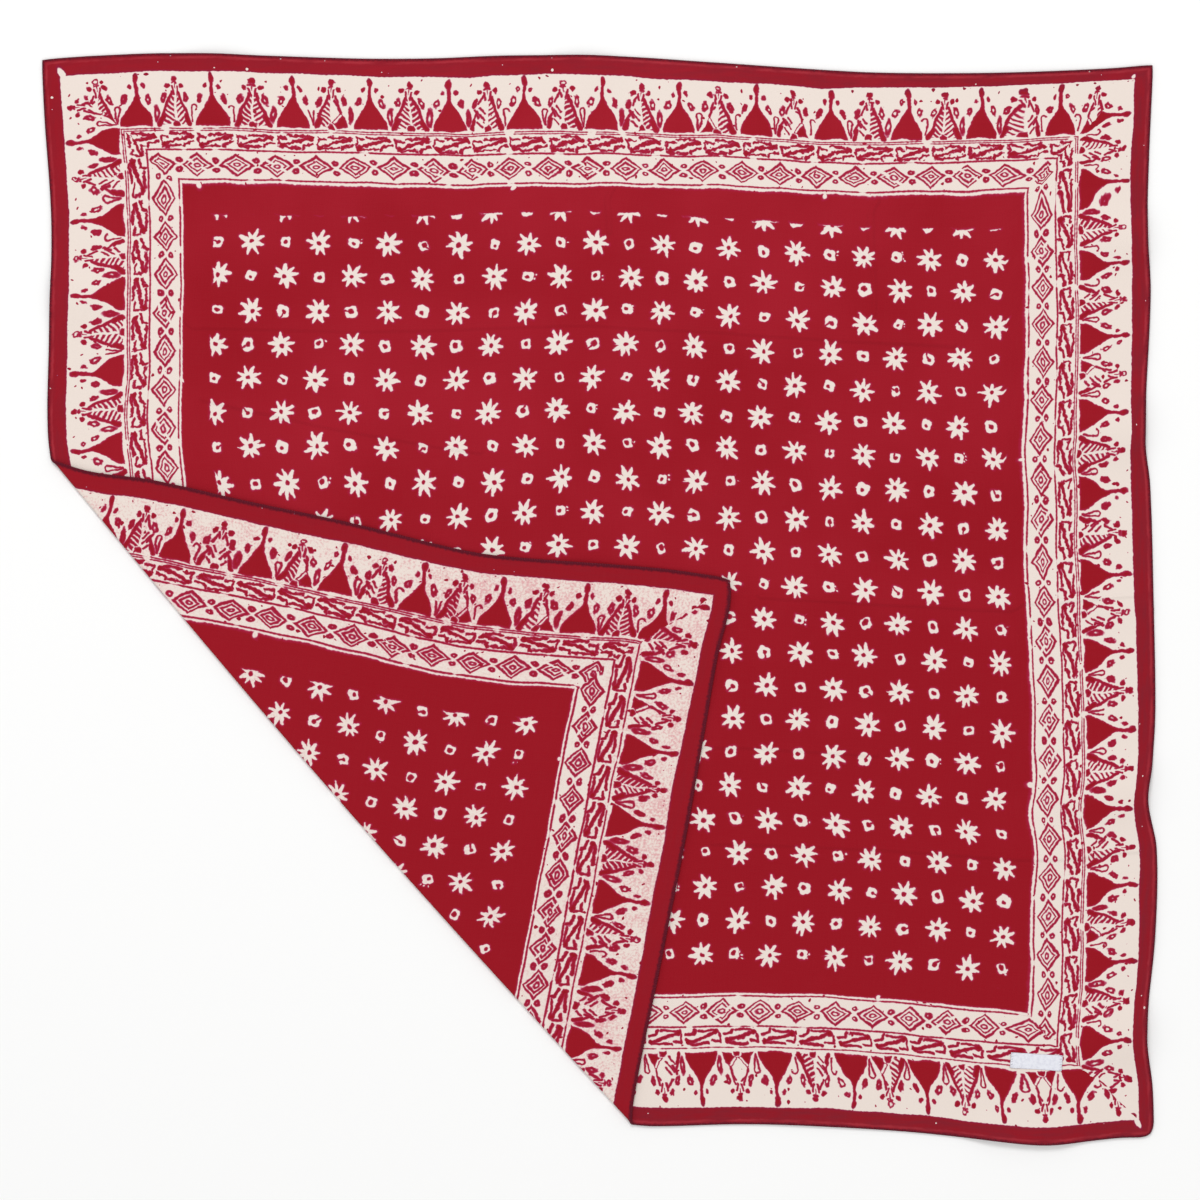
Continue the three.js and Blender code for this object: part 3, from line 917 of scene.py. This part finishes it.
def starMotifs(tree, x, y):
    startX, startY = blockPrint["starStart"]
    pitchX, pitchY = blockPrint["starPitch"]
    # The upper impressions of the block landed a little off the lower ones.
    upper = ramped(y, 195, 220, 1, 0)
    beyond = ramped(x, 150, 215, 0, 1)
    moveX = upper * beyond * ramped(x, 410, 470, 2.8, 0)
    moveY = upper * (ramped(y, 70, 200, -0.8, -3.2) + beyond * 2.6)
    column, row = (x - moveX - startX) / pitchX, (y - moveY - startY) / pitchY
    wholeColumn, wholeRow = maths(tree, "ROUND", column), maths(tree, "ROUND", row)
    one, two, three = chances(joined(tree, wholeColumn, wholeRow, 7.3))
    nearX = (column - wholeColumn) * pitchX + (one - 0.5) * 1.3
    nearY = (row - wholeRow) * pitchY + (two - 0.5) * 1.3
    near = joined(tree, nearX, nearY)
    radius = vectorMaths("LENGTH", near)
    eyeX, eyeY = nearX + (two - 0.5) * 1.1, nearY + (three - 0.5) * 1.1
    eye = vectorMaths("LENGTH", joined(tree, eyeX, eyeY))
    # Stars of eight or nine petals, each with a length of its own
    petals = maths(tree, "ROUND", 7.7 + one)
    turn = maths(tree, "ARCTAN2", nearY, nearX) * (petals / math.tau) + three
    petal = maths(tree, "ROUND", turn)
    whichPetal = maths(tree, "MODULO", petal + 18, petals)
    lengths, leans, widths = chances(joined(tree, wholeColumn + petal * 0.37, wholeRow, whichPetal))
    angle = (turn - petal + (leans - 0.5) * 0.22) * (math.tau / petals)
    out = radius * maths(tree, "COSINE", angle)
    side = abs(radius * maths(tree, "SINE", angle))
    tip = 4.9 + lengths * 1.6
    past = most(out - tip, 0)
    short = most(tip - out, 0)
    arm = vectorMaths("LENGTH", joined(tree, past, side)) - (0.5 + widths * 0.24) - short * 0.22
    star = most(least(arm, radius - 2.7), 1.08 - eye)
    lumpy = radius + maths(tree, "SINE", turn * math.pi) * 0.26
    ring = most(lumpy - (2.45 + one * 0.85), 0.85 + three * 0.6 - eye)
    # Some of the rings have a gap, on any side.
    gapTurn = (one + three) * (math.tau * 1.5)
    gapX, gapY = maths(tree, "COSINE", gapTurn), maths(tree, "SINE", gapTurn)
    gap = least(0.42 - abs(nearX * gapX + nearY * gapY), nearY * gapX - nearX * gapY)
    ring = most(ring, between(two < 0.34, -9, gap))
    # Beside some of the rings the wax spattered.
    dropX, dropY = abs(nearX + (lengths - 0.5) * 3 - 2.6), abs(nearY + (leans - 0.5) * 3) - 1
    spatter = vectorMaths("LENGTH", joined(tree, dropX, dropY)) - 0.5
    ring = least(ring, between(two > 0.72, 9, spatter))
    odd = maths(tree, "PINGPONG", wholeColumn + wholeRow + 40, 1)
    motif = between(odd, star, ring)
    fieldX = abs(x - 281.1) - 199.9
    fieldY = abs(y - 267.9) - 189.6
    return most(motif, fieldX, fieldY)


# How far in from the nearest edge, from the left or right one, and from the top or bottom one
def depthIn(place):
    x, y, _ = parted(place)
    toSide, toEnd = least(x, cloth["printWidth"] - x), least(y, cloth["printHeight"] - y)
    return least(toSide, toEnd), toSide, toEnd


# The dyed parts of the print, as a distance in millimetres that is less than 0 where there is dye.
def dyedParts(tree, place, wander):
    width, height = cloth["printWidth"], cloth["printHeight"]
    x, y, _ = parted(place)
    depth, toSide, toEnd = depthIn(place)
    upright = toSide < toEnd
    along = between(upright, x, y)
    right, bottom = x > width / 2, y > height / 2
    level = between(bottom, blockPrint["bottleTop"], blockPrint["bottleBottom"])
    first = between(upright, level, between(right, blockPrint["bottleLeft"], blockPrint["bottleRight"]))
    side = first + right * 3 + bottom * 5

    unit = (along - first) / blockPrint["bottlePitch"]
    whole = maths(tree, "ROUND", unit)
    across = (unit - whole) * blockPrint["bottlePitch"]
    half = across > 0
    luck = chances(joined(tree, whole, side, half))
    more = chances(joined(tree, maths(tree, "FLOOR", unit), side, 4.1))
    own = chances(joined(tree, whole, side + 0.5, half))
    up = blockPrint["bottleFoot"] - depth
    motifX = abs(across)
    motif = borderMotifs(tree, joined(tree, motifX, up), motifX, up, luck, more, own, wander[2] * 1.3)
    motif = most(motif, depth - blockPrint["bottleFoot"] - 0.3)

    cell = (along - first) / blockPrint["diamondPitch"] + 0.5
    wholeCell = maths(tree, "ROUND", cell)
    alongCell = (cell - wholeCell) * blockPrint["diamondPitch"]
    cellLuck = chances(joined(tree, wholeCell, side, 9.2))
    blockX = 9.57 - abs(alongCell)
    blockX = between(alongCell > 0, blockX, 0 - blockX)
    blockX = between(between(upright, bottom, 1 - right), blockX, 0 - blockX) + wander[0] * 1.9
    blockY = depth - blockPrint["meanderStart"] + wander[1] * 1.7
    blockPlace = joined(tree, blockX, blockY)
    meander = least(nearestOf(stroke, blockPlace, meanderStrokes), nearestOf(blob, blockPlace, meanderBlobs))
    diamond = diamondMotifs(tree, alongCell, depth - blockPrint["diamondMiddle"], cellLuck)

    # Where two strokes of the block meet, the wax left a small nick in the red centre.
    firstNick = between(upright, between(bottom, 75, 101.7), between(right, 7, 46.5))
    nick = (along - firstNick) / blockPrint["nickPitch"]
    nick = (nick - maths(tree, "ROUND", nick)) * blockPrint["nickPitch"]
    nick = vectorMaths("LENGTH", joined(tree, nick, depth - blockPrint["centreStart"] - 0.4)) - 1.2
    return x, y, motif, meander, diamond, nick


waxSpill = [11.8, 10.8, 9, 5.4, 1.6]  # from x, y to x, y and half width, at every corner but the folded one
# Thin printed lines: distance in from the edge, half width, and how much further in the bottom one runs
printedLines = [[38.3, 0.28, 0.6], [39.4, 0.24, -0.5], [49.3, 0.45, 0], [64.2, 0.4, 0]]


def printedInk(tree, place):
    calmColour = noise(place, 24, 1)[1]
    slow, slowColour = noise(place, 8, 0)
    quick, quickColour = noise(place, 2.4, 1)
    fast = noise(place, 1.3, 0)[0]
    fleckNoise = noise(place, 3.1, 0)[0]
    drawn = vectorMaths("MULTIPLY_ADD", calmColour, (1.6, 1.6, 0), place)
    drawn = vectorMaths("SUBTRACT", drawn, (0.8, 0.8, 0))
    shake = vectorMaths("MULTIPLY_ADD", slowColour, (1.8, 1.8, 0), place)
    shake = vectorMaths("MULTIPLY_ADD", quickColour, (0.7, 0.7, 0), shake)
    shaken = vectorMaths("SUBTRACT", shake, (1.25, 1.25, 0))
    wander = parted(vectorMaths("SUBTRACT", quickColour, (0.5, 0.5, 0.5)))
    x, y, motif, meander, diamond, nick = dyedParts(tree, shaken, wander)
    depth, toSide, toEnd = depthIn(drawn)
    rough = fast - 0.5
    bottom = (toEnd < toSide) * (y > cloth["printHeight"] / 2)
    lines = least(*(abs(depth - bottom * further - at) - size for at, size, further in printedLines))
    lines = lines + ramped(slow, 0.68, 0.76, 0, 0.5) + (quick - 0.5) * 0.24
    border = depth + (quick - 0.5) * 0.5 - blockPrint["borderStart"]
    centre = blockPrint["centreStart"] - depth + (quick - 0.5) * 0.5
    fleck = ramped(fleckNoise, 0.79, 0.89, 1, -0.6)
    ink = least(border, motif, meander, diamond, lines, centre, fleck)
    # The wax ran out over the corners of the red edge, and in a few places over the red centre's.
    fromRight, fromBottom = cloth["printWidth"] - x, cloth["printHeight"] - y
    corner = joined(tree, least(x, fromRight), least(y, fromBottom))
    spill = most(blob(corner, *waxSpill) + ramped(x - y, 300, 320, 0, 0.75), y - x - 300)
    stars = starMotifs(tree, x, y)
    # Flecks that the dye left bare on the doubled edge
    bare = least(ramped(fleckNoise, 0.06, 0.12, 0.6, -1), 9 - depth)
    return most(ink + rough * 0.3, 0 - stars + rough * 0.4, 0 - spill, 0 - nick, bare), quick, fast


dye = {
    "cream": (0.8, 0.7, 0.635, 1),
    "red": (0.352, 0.0105, 0.023, 1),
    "deepRed": (0.3, 0.006, 0.014, 1),
    "thin": (0.37, 0.012, 0.052, 1),  # in fine lines and along the edges of the motifs
    "bleed": (0.52, 0.12, 0.21, 1),
    "reversePink": (0.7, 0.36, 0.37, 1),
    "plum": (0.075, 0.006, 0.016, 1),
    "hemDeep": (0.215, 0.013, 0.024, 1),
    # The next colour is a painted highlight along the fold of the rolled hem.
    "hemHighlight": (0.52, 0.06, 0.08, 1),
    "bleedWidth": 0.45,
}


# Creases from being stored folded: from x, y to x, y in the print's own millimetres
creases = [
    [68, 133, 452, 136], [78, 168, 215, 196], [353, 268, 540, 268], [320, 344, 410, 345],
    [325, 393, 540, 392], [279, 66, 280, 88], [411, 66, 412, 122],
]


def cottonMaterial():
    sheen = {"Specular IOR Level": 0.1, "Sheen Weight": 0.03, "Sheen Roughness": 0.5}
    material, tree, shader = newMaterial("printedCotton", sheen)
    place = Wire(tree, addNode(tree, "ShaderNodeUVMap", uv_map="print").outputs[0])
    ink, quick, fast = printedInk(tree, place)
    reverse = Wire(tree, addNode(tree, "ShaderNodeAttribute", attribute_name="reverseSide").outputs["Fac"])
    ink = ink - reverse * 0.12
    dyed = maths(tree, "MULTIPLY_ADD", ink, -1 / dye["bleedWidth"], 0.5, clamp=True)

    edge = Wire(tree, addNode(tree, "ShaderNodeAttribute", attribute_name="edgeDistance").outputs["Fac"])
    cloud = noise(place, 70, 3)[0]
    speck = noise(place, 1.2, 2)[0]
    x, y, _ = parted(place)
    # Painted shade: the red deepens towards the bottom of the cloth and near its left edge.
    paintedShadeLowLeft = most(ramped(x * 0.5 + y, 230, 600, 0, 0.9), ramped(x, 70, 140, 0.4, 0))
    red = betweenColours(ramped(cloud, 0.3, 0.7, 0, 0.7) + paintedShadeLowLeft, dye["red"], dye["deepRed"])
    red = betweenColours(reverse * 0.75, red, dye["deepRed"])
    # The doubled edge is a deeper red, and painted shade darkens it further in streaks along it and towards
    # the bottom and right.
    streak = noise(joined(tree, edge * 0.8, (x + y) * 0.14), 1.9, 2)[0]
    hemBand = ramped(edge, 8, 11, 1, 0) * (1 - reverse * 0.7) * ramped(x * 0.7 + y, 60, 420, 0.5, 1)
    red = betweenColours(hemBand * ramped(streak, 0.25, 0.75, 0.85, 0.3), red, dye["hemDeep"])
    red = betweenColours(ramped(ink, -1, -0.3, 0, 0.75), red, dye["thin"])
    red = betweenColours(ramped(ink, -0.9, -0.3, 0, 0.4) * ramped(edge, 10.5, 11.5, 1, 0), red, dye["plum"])
    blotch = noise(place, 7, 3)[0]
    stained = ramped(cloud * 0.8 + blotch * 0.7 + speck * 1.5, 1.42, 1.92, 0.03, 0.9) * reverse
    stained = stained * ramped(edge, 28, 52, 1, 0.45)
    cream = betweenColours(stained, dye["cream"], dye["reversePink"])
    cream = betweenColours(ramped(dyed, 0, 0.5, 0, 1), cream, dye["bleed"])
    colour = betweenColours(ramped(dyed, 0.3, 1, 0, 1), cream, red)
    # Painted highlight: a lighter, pinker line in streaks along the fold of the rolled hem, 1 to 3 mm in from
    # the edge, on the face only.
    shakenEdge = edge + (quick - 0.5) * 0.8
    hemFold = ramped(shakenEdge, 0.9, 2.1, 0, 1) * ramped(shakenEdge, 2.1, 3, 1, 0)
    hemFoldHighlight = hemFold * ramped(streak, 0.3, 0.6, 0, 0.35) * (1 - reverse)
    colour = betweenColours(hemFoldHighlight, colour, dye["hemHighlight"])
    rolled = ramped(edge + (fast - 0.5) * 0.9 - reverse * 0.7, 0.5, 1.5, 1, 0)
    colour = betweenColours(rolled * 0.85, colour, dye["plum"])
    plug(colour, shader.inputs["Base Color"])

    # Plain weave with uneven threads
    warp = maths(tree, "SINE", x * 13.9) * maths(tree, "SINE", y * 13.9)
    slubX = noise(vectorMaths("MULTIPLY", place, (1, 0.06, 1)), 0.7, 1)[0]
    slubY = noise(vectorMaths("MULTIPLY", place, (0.06, 1, 1)), 0.7, 1)[0]
    height = warp * 0.15 + (slubX + slubY) * 0.6
    fromCrease = least(*(stroke(place, *row, 0) for row in creases)) + (cloud - 0.5) * 2
    folded = relief(ramped(fromCrease, 0, 2.6, 1, 0, smooth=True), 1, 0.5)
    woven = relief(height, 0.5, 0.12)
    plug(folded, woven.socket.node.inputs["Normal"])
    plug(woven, shader.inputs["Normal"])
    rough = ramped(slubX + slubY, 0.6, 1.4, 0.82, 0.98)
    plug(rough, shader.inputs["Roughness"])
    return material


bandana.data.materials.append(cottonMaterial())
print("cotton dyed:", len(bandana.data.materials[0].node_tree.nodes), "nodes")


# Twisted thread: the bands of its plies run round it
def threadMaterial(name, light, dark, roughness):
    material, tree, shader = newMaterial(name, {"Specular IOR Level": 0.2, "Sheen Weight": 0.1})
    place = Wire(tree, addNode(tree, "ShaderNodeTexCoord").outputs["Object"])
    twist = addNode(tree, "ShaderNodeTexWave", wave_type="BANDS", bands_direction="DIAGONAL")
    plug(place, twist.inputs["Vector"])
    twist.inputs["Scale"].default_value = 900
    twist.inputs["Distortion"].default_value = 1.5
    ply = Wire(tree, twist.outputs["Fac"])
    patch = noise(place, 0.012, 2, "3D")[0]
    shade = ply * 0.55 + ramped(patch, 0.35, 0.65, 0, 0.45)
    plug(betweenColours(shade, dark, light), shader.inputs["Base Color"])
    plug(ramped(ply, 0, 1, roughness, roughness - 0.12), shader.inputs["Roughness"])
    plug(relief(ply, 0.6, 0.08), shader.inputs["Normal"])
    return material


# Tightly woven ribbon: fine ribs across it, firmer selvedges, slight soil in blotches and some painted shade
def ribbonMaterial():
    sheen = {"Specular IOR Level": 0.3, "Sheen Weight": 0.15}
    material, tree, shader = newMaterial("wovenRibbon", sheen)
    place = Wire(tree, addNode(tree, "ShaderNodeUVMap", uv_map="ribbon").outputs[0])
    x, y, _ = parted(place)
    ribs = maths(tree, "SINE", x * 20.9)
    rows = maths(tree, "SINE", y * 15.7 + maths(tree, "ROUND", x * 3.33) * math.pi)
    weave = ribs * 0.5 + rows * 0.5
    mottle = noise(place, 1.6, 3)[0]
    selvedge = ramped(abs(y), 3.35, 3.75, 0, 1)
    # Soil in blotches; the selvedges darker, partly their own weave and partly painted shade where they round
    # over; painted shade in the hollows of the weave
    soilAndShade = ramped(mottle, 0.4, 0.75, 0, 0.22) + selvedge * 0.3 + ramped(weave, -1, 1, 0.14, 0)
    plug(betweenColours(soilAndShade, (0.88, 0.89, 0.95, 1), (0.42, 0.42, 0.56, 1)), shader.inputs["Base Color"])
    plug(ramped(weave, -1, 1, 0.72, 0.5), shader.inputs["Roughness"])
    plug(relief(weave + mottle * 0.6, 0.6, 0.08), shader.inputs["Normal"])
    return material


sewnTab.data.materials.append(ribbonMaterial())
threadGroup = threadTree()
edgeThread = {
    "Pitch": 1.25 * mm,
    "Loop Width": 0.64 * mm,
    "Loop Height": 0.6 * mm,
    "Thread": 0.15 * mm,
    "Lean": 0.42,
    "Unevenness": 0.16,
}
plum = threadMaterial("plumThread", (0.22, 0.018, 0.038, 1), (0.1, 0.009, 0.022, 1), 0.8)
edgeStitches = threadAlong("edgeStitches", [(edgeLine(), True)], plum, edgeThread)
print("edge whipped:", len(edgeStitches.data.polygons), "faces")


# The two short ends of the tab, where the thread passes over the fold
def tabEnds():
    surface = BVHTree.FromObject(sewnTab, bpy.context.evaluated_depsgraph_get())
    lines = []
    for side in (-1, 1):
        line = []
        for y in np.linspace(-3.3, 3.3, 12):
            x = side * (labelTab["width"] / 2 - 0.55)
            spotX, spotY, top = tabSpot(surface, x, y)
            line.append((spotX, spotY, top - 0.2 * mm))
        lines.append((line, False))
    return lines


tabThread = {
    "Pitch": 1.3 * mm,
    "Loop Width": 0.95 * mm,
    "Loop Height": 0.32 * mm,
    "Thread": 0.11 * mm,
    "Lean": 0.2,
    "Unevenness": 0.25,
}
white = threadMaterial("whiteThread", (0.8, 0.8, 0.84, 1), (0.45, 0.44, 0.5, 1), 0.7)
tabStitches = threadAlong("tabStitches", tabEnds(), white, tabThread)

for piece, slot in ((bandana, "cloth"), (edgeStitches, "cloth"), (sewnTab, "label"), (tabStitches, "label")):
    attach(piece, "root")
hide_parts("cloth")
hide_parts("label")
